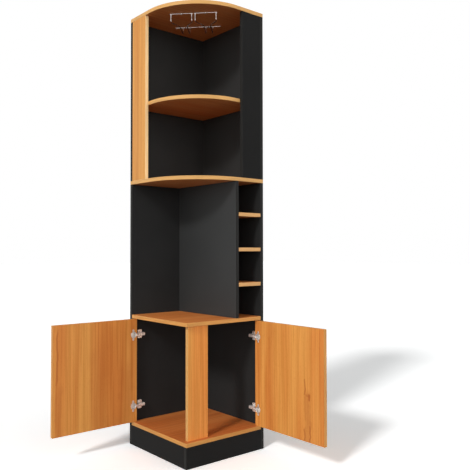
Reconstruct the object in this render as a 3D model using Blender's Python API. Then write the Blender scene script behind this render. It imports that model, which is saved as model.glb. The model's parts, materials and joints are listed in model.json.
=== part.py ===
"""Corner bar cabinet: a tall two-part corner unit of coated boards, with a cupboard behind two doors,
a niche with a bottle rack, and an open display with wire glass racks under its top.

Metres, +Z up. The origin is the room corner at floor level. The cabinet fills the quarter where X and
Y are negative: its left wall panel stands against the wall Y = 0, its right wall panel against X = 0,
and its two fronts face -X (left) and -Y (right). The doors are modelled open, as they are shown.
"""
import math
from collections import namedtuple

import bmesh
import bpy
from mathutils import Matrix, Vector

# Overall size and the boards
SIDE = 0.397
HEIGHT = 1.800
BOARD = 0.015
GAP = 0.0003
OVERRUN = 0.002
EDGE_EASE = 0.0005

# Clear heights from the floor up
PLINTH_HEIGHT = 0.0815
CUPBOARD_HEIGHT = 0.4305
NICHE_HEIGHT = 0.549
LOWER_DISPLAY_HEIGHT = 0.3075

# Plan
BOW_RADIUS = 0.255
SHELF_CORNER_RADIUS = 0.003
STILE_WIDTH = 0.099
POST_WIDTH = 0.096
POST_CLEARANCE = 0.002
POST_END_CLEARANCE = 0.005
BOTTLE_RACK_WIDTH = 0.120
BOTTLE_SHELVES = 3
BOW_STEPS = 24
SMALL_CORNER_STEPS = 3

# Doors
DOOR_LOW_GAP = 0.001
DOOR_HIGH_GAP = 0.002
DOOR_HINGE_GAP = 0.003
DOOR_FREE_GAP = 0.0015
DOOR_OPEN_DEG = 90.0
PIVOT_DEPTH = 0.0065
PIVOT_REACH = 0.0102

# Concealed hinges, with their cups let into the doors
HINGE_FROM_DOOR_END = 0.066
CUP_BORE_RADIUS = 0.013
CUP_BORE_DEPTH = 0.0117
CUP_EDGE_DISTANCE = 0.003
CUP_WALL = 0.0008
CUP_RIM_OVERHANG = 0.0006
CUP_FLANGE = 0.001
CUP_PEG_OFFSET = 0.002
CUP_PEG_SPACING = 0.038
CUP_PEG_RADIUS = 0.0032
CUP_PEG_LENGTH = 0.0100
CUP_EAR_RADIUS = 0.0045
PIN_RADIUS = 0.0009
PIN_HALF_LENGTH = 0.0060
KNUCKLE_RADIUS = 0.0018
ARM_SHEET = 0.0014
ARM_HALF_WIDTH = 0.0045
NECK_OFFSET = 0.0005
NECK_CLEARANCE = 0.0011
NECK_BEND = 0.0018
ARM_START = 0.0185
ARM_SLOPE_END = 0.026
ARM_END = 0.054
ARM_HEIGHT = 0.014
CHANNEL_HALF_WIDTH = 0.005
CHANNEL_WALL = 0.0012
CHANNEL_FOOT = 0.004
PLATE_SETBACK = 0.038
PLATE_DEPTH = 0.020
PLATE_HALF_LENGTH = 0.018
PLATE_SHEET = 0.002
PLATE_PEG_SPACING = 0.024
PLATE_PEG_RADIUS = 0.0024
PLATE_PEG_LENGTH = 0.0105
PEG_HEAD_RADIUS = 0.0034
PEG_HEAD_HEIGHT = 0.0012
PEG_HEAD_CROWN_SHARE = 0.7
RIB_INSET = 0.002

# Knobs on the outer faces of the doors
KNOB_FROM_FREE_EDGE = 0.035
KNOB_LENGTH = 0.022
KNOB_RADIUS = 0.0125
KNOB_FOOT_RADIUS = 0.006
KNOB_NECK_RADIUS = 0.004
KNOB_STUD_RADIUS = 0.002
KNOB_STUD_LENGTH = 0.010
KNOB_HEIGHT_SHARE = 0.72
KNOB_FOOT_SHARE = 0.12
KNOB_NECK_SHARES = (0.22, 0.46)
KNOB_BRIM_SHARES = (0.72, 0.86)
KNOB_CROWN_SHARE = 0.72

# Wire racks that hold stemmed glasses by the foot
GLASS_RACK_SETBACK = 0.197
GLASS_RACK_LENGTH = 0.156
GLASS_RACK_OFFSET = 0.050
GLASS_RACK_DROP = 0.030
WIRE_RADIUS = 0.00175
BAR_HALF_LENGTH = 0.0475
MOUTH_HALF_WIDTH = 0.043
CHANNEL_HALF_GAP = 0.0145
WIRE_BEND = 0.008
FLARE_LENGTH = 0.060
EYELET_RADIUS = 0.0052
FLARE_STEPS = 6
BEND_STEPS = 3

# Screws: those of the case have sunk heads, those of the glass racks have pan heads
Screw = namedtuple("Screw", "head_radius head_height shaft_radius length sunk")
CASE_SCREW = Screw(0.0048, 0.003, 0.0025, 0.040, True)
RACK_SCREW = Screw(0.0040, 0.0020, 0.0017, 0.0160, False)
SCREW_TIP_SHARE = 0.45
PAN_CROWN_SHARE = 0.7
LOWER_CORNER_SCREW_SHARES = (0.12, 0.88)
UPPER_CORNER_SCREW_SHARES = (0.2, 0.8)

ROUND_STEPS = 24
SMALL_STEPS = 8
WIRE_STEPS = 8
KNOB_STEPS = 16
SMOOTH_ANGLE = math.radians(35.0)
RACK_TURN_DEG = 45.0
LEFT_SHUT_DEG = -90.0
RIGHT_SHUT_DEG = 180.0
RIGHT_WALL_DEG = 90.0

# Levels and places that follow
FRONT = -SIDE
INNER = -BOARD
MIDDLE = INNER / 2
BOTTOM_Z = PLINTH_HEIGHT
CUPBOARD_FLOOR_Z = BOTTOM_Z + BOARD
COUNTER_Z = CUPBOARD_FLOOR_Z + CUPBOARD_HEIGHT
NICHE_FLOOR_Z = COUNTER_Z + BOARD
DECK_Z = NICHE_FLOOR_Z + NICHE_HEIGHT
DISPLAY_FLOOR_Z = DECK_Z + BOARD
DISPLAY_SHELF_Z = DISPLAY_FLOOR_Z + LOWER_DISPLAY_HEIGHT
TOP_Z = HEIGHT - BOARD
DIVIDER_RIGHT = INNER - BOTTLE_RACK_WIDTH
DIVIDER_LEFT = DIVIDER_RIGHT - BOARD
BOTTLE_CELL = (NICHE_HEIGHT - BOTTLE_SHELVES * BOARD) / (BOTTLE_SHELVES + 1)
DOOR_LOW_Z = CUPBOARD_FLOOR_Z + DOOR_LOW_GAP
DOOR_HIGH_Z = COUNTER_Z - DOOR_HIGH_GAP
CLEAR_WIDTH = INNER - FRONT

# Turns a prism that stands on Z so that its length runs along X, and its outline lies in Y and Z
ALONG_X = Matrix(((0, 0, 1, 0), (1, 0, 0, 0), (0, 1, 0, 0), (0, 0, 0, 1)))

BOARDS = {}
HOLES = {}


def make_material(name, colour, roughness, metallic=0.0):
    material = bpy.data.materials.new(name)
    material.use_nodes = True
    shader = material.node_tree.nodes["Principled BSDF"]
    shader.inputs["Base Color"].default_value = (*colour, 1.0)
    shader.inputs["Roughness"].default_value = roughness
    shader.inputs["Metallic"].default_value = metallic
    material.diffuse_color = (*colour, 1.0)
    return material


def own_material(kind, piece):
    """Each piece gets a material of its own, named for its finish and the piece."""
    finishes = {
        "honey_board": ((0.66, 0.29, 0.08), 0.42, 0.0),
        "black_board": ((0.016, 0.015, 0.015), 0.45, 0.0),
        "chrome": ((0.80, 0.80, 0.82), 0.12, 1.0),
        "hinge_steel": ((0.62, 0.62, 0.60), 0.30, 1.0),
        "zinc_screw": ((0.55, 0.55, 0.52), 0.35, 1.0),
    }
    return make_material(f"{kind}_{piece}", *finishes[kind])


def add_object(name, bm, parent=None, location=(0, 0, 0), turn_deg=0.0, hand=1):
    """Makes an object of a bmesh. A hand of -1 mirrors it across its own X-Z plane first."""
    if hand < 0:
        bmesh.ops.scale(bm, vec=(1, -1, 1), verts=bm.verts[:])
    bmesh.ops.recalc_face_normals(bm, faces=bm.faces[:])
    mesh = bpy.data.meshes.new(name)
    bm.to_mesh(mesh)
    bm.free()
    piece = bpy.data.objects.new(name, mesh)
    piece.location = location
    piece.rotation_euler = (0, 0, math.radians(turn_deg))
    piece.parent = parent
    bpy.context.scene.collection.objects.link(piece)
    return piece


def smooth(piece):
    piece.data.shade_smooth()
    piece.data.set_sharp_from_angle(angle=SMOOTH_ANGLE)


def combine(piece, bm, operation, label, hand=1):
    """Joins a body to the piece or cuts it away, with a helper that shares the piece's own frame."""
    helper = add_object(f"{piece.name}_{label}", bm, parent=piece, hand=hand)
    helper.hide_render = True
    helper.display_type = "WIRE"
    boolean = piece.modifiers.new(label, "BOOLEAN")
    boolean.operation = operation
    boolean.object = helper
    boolean.solver = "EXACT"


def add_prism(bm, outline, low, high, upright=True):
    """Adds the outline's prism. It stands on Z, or lies on Y where the outline is in X and Z."""
    rise = Vector((0, 0, high - low)) if upright else Vector((0, high - low, 0))
    points = [Vector((u, v, low)) if upright else Vector((u, low, v)) for u, v in outline]
    face = bm.faces.new([bm.verts.new(p) for p in points])
    top = bmesh.ops.extrude_face_region(bm, geom=[face], use_keep_orig=True)
    bmesh.ops.translate(bm, vec=rise, verts=[v for v in top["geom"] if isinstance(v, bmesh.types.BMVert)])


def prism(outline, low, high):
    bm = bmesh.new()
    add_prism(bm, outline, low, high)
    return bm


def rectangle(low, high):
    return [(low[0], low[1]), (high[0], low[1]), (high[0], high[1]), (low[0], high[1])]


def add_turned(bm, profile, start, direction, steps):
    """Adds a closed turned body. The profile gives radius and distance along the direction, end to end."""
    frame = Vector(direction).to_track_quat("Z", "Y").to_matrix().to_4x4()
    frame.translation = Vector(start)
    rings = []
    for radius, distance in profile:
        angles = [2 * math.pi * (i + 0.5) / steps for i in range(steps)]
        places = [Vector((radius * math.cos(a), radius * math.sin(a), distance)) for a in angles]
        rings.append([bm.verts.new(frame @ p) for p in places])
    for lower, upper in zip(rings, rings[1:]):
        for i in range(steps):
            j = (i + 1) % steps
            bm.faces.new((lower[i], lower[j], upper[j], upper[i]))
    bm.faces.new(rings[0][::-1])
    bm.faces.new(rings[-1])


def turned(profile, start, direction, steps):
    bm = bmesh.new()
    add_turned(bm, profile, start, direction, steps)
    return bm


def bow_plan(inset, back, radius, steps):
    """The plan of a panel from its inset fronts to its back edges, with the front corner rounded."""
    near = FRONT + inset
    centre = near + radius
    turns = [math.pi + math.pi / 2 * i / steps for i in range(steps + 1)]
    arc = [(centre + radius * math.cos(a), centre + radius * math.sin(a)) for a in turns]
    return arc + [(back, near), (back, back), (near, back)]


def screw_profile(screw):
    """From the head's top to the tip. A sunk head lies just below the face, a pan head stands on it."""
    tip = screw.shaft_radius * SCREW_TIP_SHARE
    taper = screw.length - 2 * screw.shaft_radius
    if screw.sunk:
        head = [(screw.head_radius, GAP), (screw.shaft_radius, GAP + screw.head_height)]
    else:
        head = [(screw.head_radius * PAN_CROWN_SHARE, -GAP - screw.head_height)]
        head.append((screw.head_radius, -GAP - screw.head_height / 2))
        head += [(screw.head_radius, -GAP), (screw.shaft_radius, -GAP)]
    return head + [(screw.shaft_radius, taper), (tip, screw.length)]


def screw_hole_profile(screw):
    shaft = screw.shaft_radius + GAP
    if screw.sunk:
        head = screw.head_radius + GAP
        mouth = [(head, -OVERRUN), (head, GAP), (shaft, GAP + screw.head_height)]
    else:
        mouth = [(shaft, -OVERRUN)]
    return mouth + [(shaft, screw.length + GAP)]


def board_holes(board):
    """The growing bmesh of all that is drilled into one board, in the part's own frame."""
    return HOLES.setdefault(board, bmesh.new())


def case_screw(name, head, direction, boards):
    """One screw of the case, and its hole in each of the two boards that it passes."""
    body = turned(screw_profile(CASE_SCREW), (0, 0, 0), direction, SMALL_STEPS)
    screw = add_object(name, body, location=head)
    screw.data.materials.append(own_material("zinc_screw", name))
    for board in boards:
        add_turned(board_holes(board), screw_hole_profile(CASE_SCREW), head, direction, SMALL_STEPS)


def add_board(name, kind, outline, low, high):
    """A board whose outline is seen from above. Its own origin is its front lower corner."""
    x0 = min(p[0] for p in outline)
    y0 = min(p[1] for p in outline)
    local = [(x - x0, y - y0) for x, y in outline]
    board = add_object(name, prism(local, 0, high - low), location=(x0, y0, low))
    board.data.materials.append(own_material(kind, name))
    ease_edges(board)
    BOARDS[name] = board
    return board


def ease_edges(board):
    ease = board.modifiers.new("eased edges", "BEVEL")
    ease.width = EDGE_EASE
    ease.segments = 1
    ease.limit_method = "ANGLE"
    ease.angle_limit = SMOOTH_ANGLE


def seat(low, high):
    """The height of a board that stands between two others, short of both by the gap."""
    return low + GAP, high - GAP


def make_wall_panels():
    levels = {"lower": (0.0, DECK_Z - GAP), "upper": seat(DISPLAY_FLOOR_Z, TOP_Z)}
    for level, (low, high) in levels.items():
        left = rectangle((FRONT, INNER), (0, 0))
        right = rectangle((INNER, FRONT), (0, INNER - GAP))
        add_board(f"left_wall_panel_{level}", "black_board", left, low, high)
        add_board(f"right_wall_panel_{level}", "black_board", right, low, high)


def make_plinth():
    high = BOTTOM_Z - GAP
    left = rectangle((FRONT, FRONT + BOARD + GAP), (FRONT + BOARD, INNER - GAP))
    right = rectangle((FRONT, FRONT), (INNER - GAP, FRONT + BOARD))
    add_board("left_plinth_board", "black_board", left, 0.0, high)
    add_board("right_plinth_board", "black_board", right, 0.0, high)


def make_square_shelves():
    plan = bow_plan(0.0, INNER - GAP, SHELF_CORNER_RADIUS, SMALL_CORNER_STEPS)
    add_board("bottom_shelf", "honey_board", plan, BOTTOM_Z, CUPBOARD_FLOOR_Z)
    add_board("counter_shelf", "honey_board", plan, COUNTER_Z, NICHE_FLOOR_Z)


def make_bowed_panels():
    plan = bow_plan(0.0, 0.0, BOW_RADIUS, BOW_STEPS)
    add_board("deck_panel", "honey_board", plan, DECK_Z, DISPLAY_FLOOR_Z)
    add_board("top_panel", "honey_board", plan, TOP_Z, HEIGHT)
    inset = BOARD + GAP
    shelf = bow_plan(inset, INNER - GAP, BOW_RADIUS - inset, BOW_STEPS)
    add_board("display_shelf", "honey_board", shelf, DISPLAY_SHELF_Z, DISPLAY_SHELF_Z + BOARD)


def post_start():
    return FRONT + BOARD + POST_END_CLEARANCE, FRONT + BOARD + POST_CLEARANCE


def make_uprights():
    end, face = post_start()
    plan = rectangle((end, face), (end + POST_WIDTH, face + BOARD))
    add_board("corner_post", "honey_board", plan, *seat(CUPBOARD_FLOOR_Z, COUNTER_Z))
    back = INNER - GAP
    level = seat(DISPLAY_FLOOR_Z, TOP_Z)
    left = rectangle((FRONT, back - STILE_WIDTH), (FRONT + BOARD, back))
    right = rectangle((back - STILE_WIDTH, FRONT), (back, FRONT + BOARD))
    add_board("left_stile", "honey_board", left, *level)
    add_board("right_stile", "black_board", right, *level)


def bottle_shelf_z(number):
    return NICHE_FLOOR_Z + number * BOTTLE_CELL + (number - 1) * BOARD


def make_bottle_rack():
    plan = rectangle((DIVIDER_LEFT, FRONT), (DIVIDER_RIGHT, INNER - GAP))
    add_board("rack_divider", "black_board", plan, *seat(NICHE_FLOOR_Z, DECK_Z))
    plan = rectangle((DIVIDER_RIGHT + GAP, FRONT), (INNER - GAP, INNER - GAP))
    for number in range(1, BOTTLE_SHELVES + 1):
        low = bottle_shelf_z(number)
        add_board(f"bottle_shelf_{number}", "honey_board", plan, low, low + BOARD)


def join_case_corner():
    """The left wall panels are screwed to the back edges of the right ones."""
    levels = {"lower": (0.0, DECK_Z, LOWER_CORNER_SCREW_SHARES)}
    levels["upper"] = (DISPLAY_FLOOR_Z, TOP_Z, UPPER_CORNER_SCREW_SHARES)
    for level, (low, high, shares) in levels.items():
        boards = (f"left_wall_panel_{level}", f"right_wall_panel_{level}")
        for number, share in enumerate(shares, 1):
            head = (MIDDLE, 0, low + (high - low) * share)
            case_screw(f"{level}_corner_screw_{number}", head, (0, -1, 0), boards)


def join_shelves():
    """Each wall panel holds each full shelf by a screw halfway along it."""
    shelves = {"bottom_shelf": (BOTTOM_Z, "lower"), "counter_shelf": (COUNTER_Z, "lower")}
    shelves["display_shelf"] = (DISPLAY_SHELF_Z, "upper")
    for shelf, (low, level) in shelves.items():
        z = low + BOARD / 2
        boards = (f"left_wall_panel_{level}", shelf)
        case_screw(f"{shelf}_screw_left", (FRONT / 2, 0, z), (0, -1, 0), boards)
        boards = (f"right_wall_panel_{level}", shelf)
        case_screw(f"{shelf}_screw_right", (0, FRONT / 2, z), (-1, 0, 0), boards)


def join_deck_and_top():
    """Screws go down through the deck and the top into the wall panels below them."""
    for panel, level, face in (("deck_panel", "lower", DISPLAY_FLOOR_Z), ("top_panel", "upper", HEIGHT)):
        boards = (panel, f"left_wall_panel_{level}")
        case_screw(f"{panel}_screw_left", (FRONT / 2, MIDDLE, face), (0, 0, -1), boards)
        boards = (panel, f"right_wall_panel_{level}")
        case_screw(f"{panel}_screw_right", (MIDDLE, FRONT / 2, face), (0, 0, -1), boards)


def join_uprights():
    """The post and the divider are screwed from below, through the shelf that they stand on."""
    end, face = post_start()
    head = (end + POST_WIDTH / 2, face + BOARD / 2, BOTTOM_Z)
    case_screw("corner_post_screw", head, (0, 0, 1), ("bottom_shelf", "corner_post"))
    head = ((DIVIDER_LEFT + DIVIDER_RIGHT) / 2, FRONT / 2, COUNTER_Z)
    case_screw("rack_divider_screw", head, (0, 0, 1), ("counter_shelf", "rack_divider"))


def hinge_heights():
    return {"lower": DOOR_LOW_Z + HINGE_FROM_DOOR_END, "upper": DOOR_HIGH_Z - HINGE_FROM_DOOR_END}


def cup_centre():
    """Where the cup's axis lies along the door, measured from the pivot."""
    return DOOR_HINGE_GAP + CUP_EDGE_DISTANCE + CUP_BORE_RADIUS - PIVOT_REACH


def door_face():
    """The door's inner face, measured inwards from the pivot."""
    return BOARD - PIVOT_DEPTH


def cup_peg_places(z):
    along = cup_centre() + CUP_PEG_OFFSET
    return [(along, z + CUP_PEG_SPACING / 2 * side) for side in (-1, 1)]


def peg_profile(radius, length, sheet):
    """A peg below a sheet of metal that lies on a board, with the head of its screw on top, as one body."""
    top = GAP + sheet
    head = [(PEG_HEAD_RADIUS * PEG_HEAD_CROWN_SHARE, top + PEG_HEAD_HEIGHT)]
    head += [(PEG_HEAD_RADIUS, top + PEG_HEAD_HEIGHT / 2), (PEG_HEAD_RADIUS, top - sheet / 2)]
    return head + [(radius, top - sheet / 2), (radius, -length)]


def peg_hole_profile(radius, length):
    return [(radius + GAP, OVERRUN), (radius + GAP, -length - GAP)]


def make_door(side, hand, pivot):
    """In the door's frame X runs from the pivot to the free edge and Y points inwards when it is shut."""
    free_gap = DOOR_FREE_GAP if side == "left" else DOOR_FREE_GAP + BOARD
    start = DOOR_HINGE_GAP - PIVOT_REACH
    end = CLEAR_WIDTH - free_gap - PIVOT_REACH
    slab = prism(rectangle((start, -PIVOT_DEPTH), (end, door_face())), DOOR_LOW_Z, DOOR_HIGH_Z)
    door = add_object(f"{side}_door", slab, parent=pivot, hand=hand)
    door.data.materials.append(own_material("honey_board", f"{side}_door"))
    ease_edges(door)
    holes = bmesh.new()
    for z in hinge_heights().values():
        bore = [(CUP_BORE_RADIUS, -CUP_BORE_DEPTH), (CUP_BORE_RADIUS, OVERRUN)]
        add_turned(holes, bore, (cup_centre(), door_face(), z), (0, 1, 0), ROUND_STEPS)
        for along, height in cup_peg_places(z):
            peg = peg_hole_profile(CUP_PEG_RADIUS, CUP_PEG_LENGTH)
            add_turned(holes, peg, (along, door_face(), height), (0, 1, 0), SMALL_STEPS)
    knob_z = DOOR_LOW_Z + (DOOR_HIGH_Z - DOOR_LOW_Z) * KNOB_HEIGHT_SHARE
    knob = (end - KNOB_FROM_FREE_EDGE, -PIVOT_DEPTH, knob_z)
    stud = peg_hole_profile(KNOB_STUD_RADIUS, KNOB_STUD_LENGTH)
    add_turned(holes, stud, knob, (0, -1, 0), SMALL_STEPS)
    combine(door, holes, "DIFFERENCE", "holes", hand)
    make_knob(f"{side}_door_knob", hand, pivot, knob)


def make_knob(name, hand, pivot, place):
    """A turned knob with a stud that screws into the door's outer face."""
    profile = [(KNOB_STUD_RADIUS, -KNOB_STUD_LENGTH), (KNOB_STUD_RADIUS, GAP), (KNOB_FOOT_RADIUS, GAP)]
    profile.append((KNOB_FOOT_RADIUS, KNOB_LENGTH * KNOB_FOOT_SHARE))
    profile += [(KNOB_NECK_RADIUS, KNOB_LENGTH * share) for share in KNOB_NECK_SHARES]
    profile += [(KNOB_RADIUS, KNOB_LENGTH * share) for share in KNOB_BRIM_SHARES]
    profile.append((KNOB_RADIUS * KNOB_CROWN_SHARE, KNOB_LENGTH))
    knob = add_object(name, turned(profile, place, (0, -1, 0), KNOB_STEPS), pivot, hand=hand)
    knob.data.materials.append(own_material("chrome", name))
    smooth(knob)


def make_cup(name, hand, pivot, z):
    """The cup that is let into the door. Its flange has two ears, whose pegs are driven into the door."""
    face = (cup_centre(), door_face(), z)
    outer = CUP_BORE_RADIUS - GAP
    inner = outer - CUP_WALL
    low = -(CUP_BORE_DEPTH - GAP)
    top = GAP + CUP_FLANGE
    body = turned([(outer, low), (outer, top)], face, (0, 1, 0), ROUND_STEPS)
    cup = add_object(name, body, parent=pivot, hand=hand)
    cup.data.materials.append(own_material("hinge_steel", name))
    smooth(cup)
    rim_radius = CUP_BORE_RADIUS + CUP_RIM_OVERHANG
    rim = turned([(rim_radius, GAP), (rim_radius, top)], face, (0, 1, 0), ROUND_STEPS)
    combine(cup, rim, "UNION", "rim", hand)
    ears = bmesh.new()
    add_prism(ears, ear_outline(z), door_face() + GAP, door_face() + top, upright=False)
    combine(cup, ears, "UNION", "ears", hand)
    for number, (along, height) in enumerate(cup_peg_places(z), 1):
        profile = peg_profile(CUP_PEG_RADIUS, CUP_PEG_LENGTH, CUP_FLANGE)
        peg = turned(profile, (along, door_face(), height), (0, 1, 0), SMALL_STEPS)
        combine(cup, peg, "UNION", f"peg_{number}", hand)
    hollow = turned([(inner, low + CUP_WALL), (inner, top + OVERRUN)], face, (0, 1, 0), ROUND_STEPS)
    combine(cup, hollow, "DIFFERENCE", "hollow", hand)


def ear_outline(z):
    """A bar with round ends about both pegs, in the door's X and Z."""
    along = cup_centre() + CUP_PEG_OFFSET
    reach = CUP_PEG_SPACING / 2
    points = []
    for side in (1, -1):
        for i in range(SMALL_STEPS + 1):
            turn = math.pi * i / SMALL_STEPS
            u = along + side * CUP_EAR_RADIUS * math.cos(turn)
            v = z + side * (reach + CUP_EAR_RADIUS * math.sin(turn))
            points.append((u, v))
    return points


def make_pin(name, hand, pivot, z):
    body = [(PIN_RADIUS, -PIN_HALF_LENGTH), (PIN_RADIUS, PIN_HALF_LENGTH)]
    pin = add_object(name, turned(body, (0, 0, z), (0, 0, 1), SMALL_STEPS), pivot, hand=hand)
    pin.data.materials.append(own_material("hinge_steel", name))
    smooth(pin)


def sheet_outline(path, thickness):
    """The outline of a bent strip of sheet, from its middle line."""
    sides = ([], [])
    for i, point in enumerate(path):
        after = (path[i + 1] - point).normalized() if i + 1 < len(path) else None
        before = (point - path[i - 1]).normalized() if i else after
        after = after or before
        across = Vector((-before.y - after.y, before.x + after.x)).normalized()
        spread = thickness / 2 / across.dot(Vector((-after.y, after.x)))
        sides[0].append(point + across * spread)
        sides[1].append(point - across * spread)
    return [tuple(p) for p in sides[0] + sides[1][::-1]]


def make_arm(name, hand, place, z):
    """The arm in its wall's frame: X runs inwards from the front, Y out from the wall panel's face."""
    over = PIVOT_REACH + door_face() + GAP + CUP_FLANGE + NECK_CLEARANCE + ARM_SHEET / 2
    neck = PIVOT_DEPTH - NECK_OFFSET
    path = [(neck, PIVOT_REACH), (neck, over - NECK_BEND), (neck + NECK_BEND, over), (ARM_START, over)]
    path += [(ARM_SLOPE_END, ARM_HEIGHT), (ARM_END, ARM_HEIGHT)]
    strip = sheet_outline([Vector(p) for p in path], ARM_SHEET)
    arm = add_object(name, prism(strip, z - ARM_HALF_WIDTH, z + ARM_HALF_WIDTH), hand=hand, **place)
    arm.data.materials.append(own_material("hinge_steel", name))
    knuckle = [(KNUCKLE_RADIUS, -ARM_HALF_WIDTH), (KNUCKLE_RADIUS, ARM_HALF_WIDTH)]
    pivot = (PIVOT_DEPTH, PIVOT_REACH, z)
    combine(arm, turned(knuckle, pivot, (0, 0, 1), SMALL_STEPS), "UNION", "knuckle", hand)
    channel = prism(channel_outline(z), ARM_SLOPE_END, ARM_END + CHANNEL_WALL)
    bmesh.ops.transform(channel, matrix=ALONG_X, verts=channel.verts[:])
    combine(arm, channel, "UNION", "channel", hand)
    bore = PIN_RADIUS + GAP
    reach = ARM_HALF_WIDTH + OVERRUN
    hole = turned([(bore, -reach), (bore, reach)], pivot, (0, 0, 1), SMALL_STEPS)
    combine(arm, hole, "DIFFERENCE", "pin_hole", hand)


def channel_outline(z):
    """The arm's channel seen along the arm: out from the wall and up, open towards the wall."""
    foot = CHANNEL_FOOT
    top = ARM_HEIGHT + ARM_SHEET / 2
    web = top - ARM_SHEET
    out = CHANNEL_HALF_WIDTH
    inside = out - CHANNEL_WALL
    outer = [(foot, z - out), (top, z - out), (top, z + out), (foot, z + out)]
    return outer + [(foot, z + inside), (web, z + inside), (web, z - inside), (foot, z - inside)]


def plate_peg_heights(z):
    return [z + PLATE_PEG_SPACING / 2 * side for side in (-1, 1)]


def make_plate(name, hand, place, z):
    """The mounting plate: two wings with pegs in the wall panel, and the rib that the arm clips over."""
    low = PLATE_SETBACK - PLATE_DEPTH / 2
    base = rectangle((low, GAP), (low + PLATE_DEPTH, GAP + PLATE_SHEET))
    plate = add_object(name, prism(base, z - PLATE_HALF_LENGTH, z + PLATE_HALF_LENGTH), hand=hand, **place)
    plate.data.materials.append(own_material("hinge_steel", name))
    rib_half = CHANNEL_HALF_WIDTH - CHANNEL_WALL - GAP
    rib_top = ARM_HEIGHT - ARM_SHEET / 2 - GAP
    rib = rectangle((ARM_SLOPE_END + RIB_INSET, GAP), (ARM_END - RIB_INSET, rib_top))
    combine(plate, prism(rib, z - rib_half, z + rib_half), "UNION", "rib", hand)
    for number, height in enumerate(plate_peg_heights(z), 1):
        profile = peg_profile(PLATE_PEG_RADIUS, PLATE_PEG_LENGTH, PLATE_SHEET)
        peg = turned(profile, (PLATE_SETBACK, 0, height), (0, 1, 0), SMALL_STEPS)
        combine(plate, peg, "UNION", f"peg_{number}", hand)


def drill_for_plates(side):
    """The holes in a lower wall panel for the pegs of its two mounting plates."""
    holes = board_holes(f"{side}_wall_panel_lower")
    profile = peg_hole_profile(PLATE_PEG_RADIUS, PLATE_PEG_LENGTH)
    setback = FRONT + PLATE_SETBACK
    for z in hinge_heights().values():
        for height in plate_peg_heights(z):
            if side == "left":
                add_turned(holes, profile, (setback, INNER, height), (0, -1, 0), SMALL_STEPS)
            else:
                add_turned(holes, profile, (INNER, setback, height), (-1, 0, 0), SMALL_STEPS)


def make_side(side):
    """A door with all that it carries, its hinges, and the fixed halves of those hinges."""
    if side == "left":
        place = {"location": (FRONT, INNER, 0)}
        centre = (FRONT + PIVOT_DEPTH, INNER - PIVOT_REACH, 0)
        shut_deg, opening, door_hand = LEFT_SHUT_DEG, -1, 1
    else:
        place = {"location": (INNER, FRONT, 0), "turn_deg": RIGHT_WALL_DEG}
        centre = (INNER - PIVOT_REACH, FRONT + PIVOT_DEPTH, 0)
        shut_deg, opening, door_hand = RIGHT_SHUT_DEG, 1, -1
    pivot = bpy.data.objects.new(f"{side}_door_pivot", None)
    pivot.location = centre
    pivot.rotation_euler = (0, 0, math.radians(shut_deg + opening * DOOR_OPEN_DEG))
    bpy.context.scene.collection.objects.link(pivot)
    make_door(side, door_hand, pivot)
    for height, z in hinge_heights().items():
        make_cup(f"{side}_{height}_hinge_cup", door_hand, pivot, z)
        make_pin(f"{side}_{height}_hinge_pin", door_hand, pivot, z)
        make_arm(f"{side}_{height}_hinge_arm", -door_hand, place, z)
        make_plate(f"{side}_{height}_hinge_plate", -door_hand, place, z)
    drill_for_plates(side)


def rail_path(side):
    """The middle line of a side wire: down from the front bar, back along the rail, up to the rear bar."""
    high = -GAP - WIRE_RADIUS
    low = high - GLASS_RACK_DROP
    points = [Vector((0, side * MOUTH_HALF_WIDTH, high))]
    for i in range(BEND_STEPS + 1):
        turn = math.pi / 2 * i / BEND_STEPS
        lift = WIRE_BEND * (1 - math.sin(turn))
        points.append(Vector((WIRE_BEND * (1 - math.cos(turn)), side * MOUTH_HALF_WIDTH, low + lift)))
    for i in range(1, FLARE_STEPS + 1):
        share = i / FLARE_STEPS
        ease = share * share * (3 - 2 * share)
        across = MOUTH_HALF_WIDTH + (CHANNEL_HALF_GAP - MOUTH_HALF_WIDTH) * ease
        points.append(Vector((WIRE_BEND + FLARE_LENGTH * share, side * across, low)))
    for i in range(BEND_STEPS + 1):
        turn = math.pi / 2 * i / BEND_STEPS
        lift = WIRE_BEND * (1 - math.cos(turn))
        back = GLASS_RACK_LENGTH - WIRE_BEND * (1 - math.sin(turn))
        points.append(Vector((back, side * CHANNEL_HALF_GAP, low + lift)))
    points.append(Vector((GLASS_RACK_LENGTH, side * CHANNEL_HALF_GAP, high)))
    return points


def wire(points):
    """A closed round wire along the points, each ring set square to the path's turn there."""
    bm = bmesh.new()
    rings = []
    for i, point in enumerate(points):
        ahead = points[min(i + 1, len(points) - 1)]
        behind = points[max(i - 1, 0)]
        run = (ahead - behind).normalized()
        sideways = run.cross(Vector((0, 1, 0))).normalized()
        upright = sideways.cross(run)
        ring = []
        for k in range(WIRE_STEPS):
            turn = 2 * math.pi * (k + 0.5) / WIRE_STEPS
            spoke = math.cos(turn) * sideways + math.sin(turn) * upright
            ring.append(bm.verts.new(point + WIRE_RADIUS * spoke))
        rings.append(ring)
    for near, far in zip(rings, rings[1:]):
        for k in range(WIRE_STEPS):
            j = (k + 1) % WIRE_STEPS
            bm.faces.new((near[k], near[j], far[j], far[k]))
    bm.faces.new(rings[0][::-1])
    bm.faces.new(rings[-1])
    return bm


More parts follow.
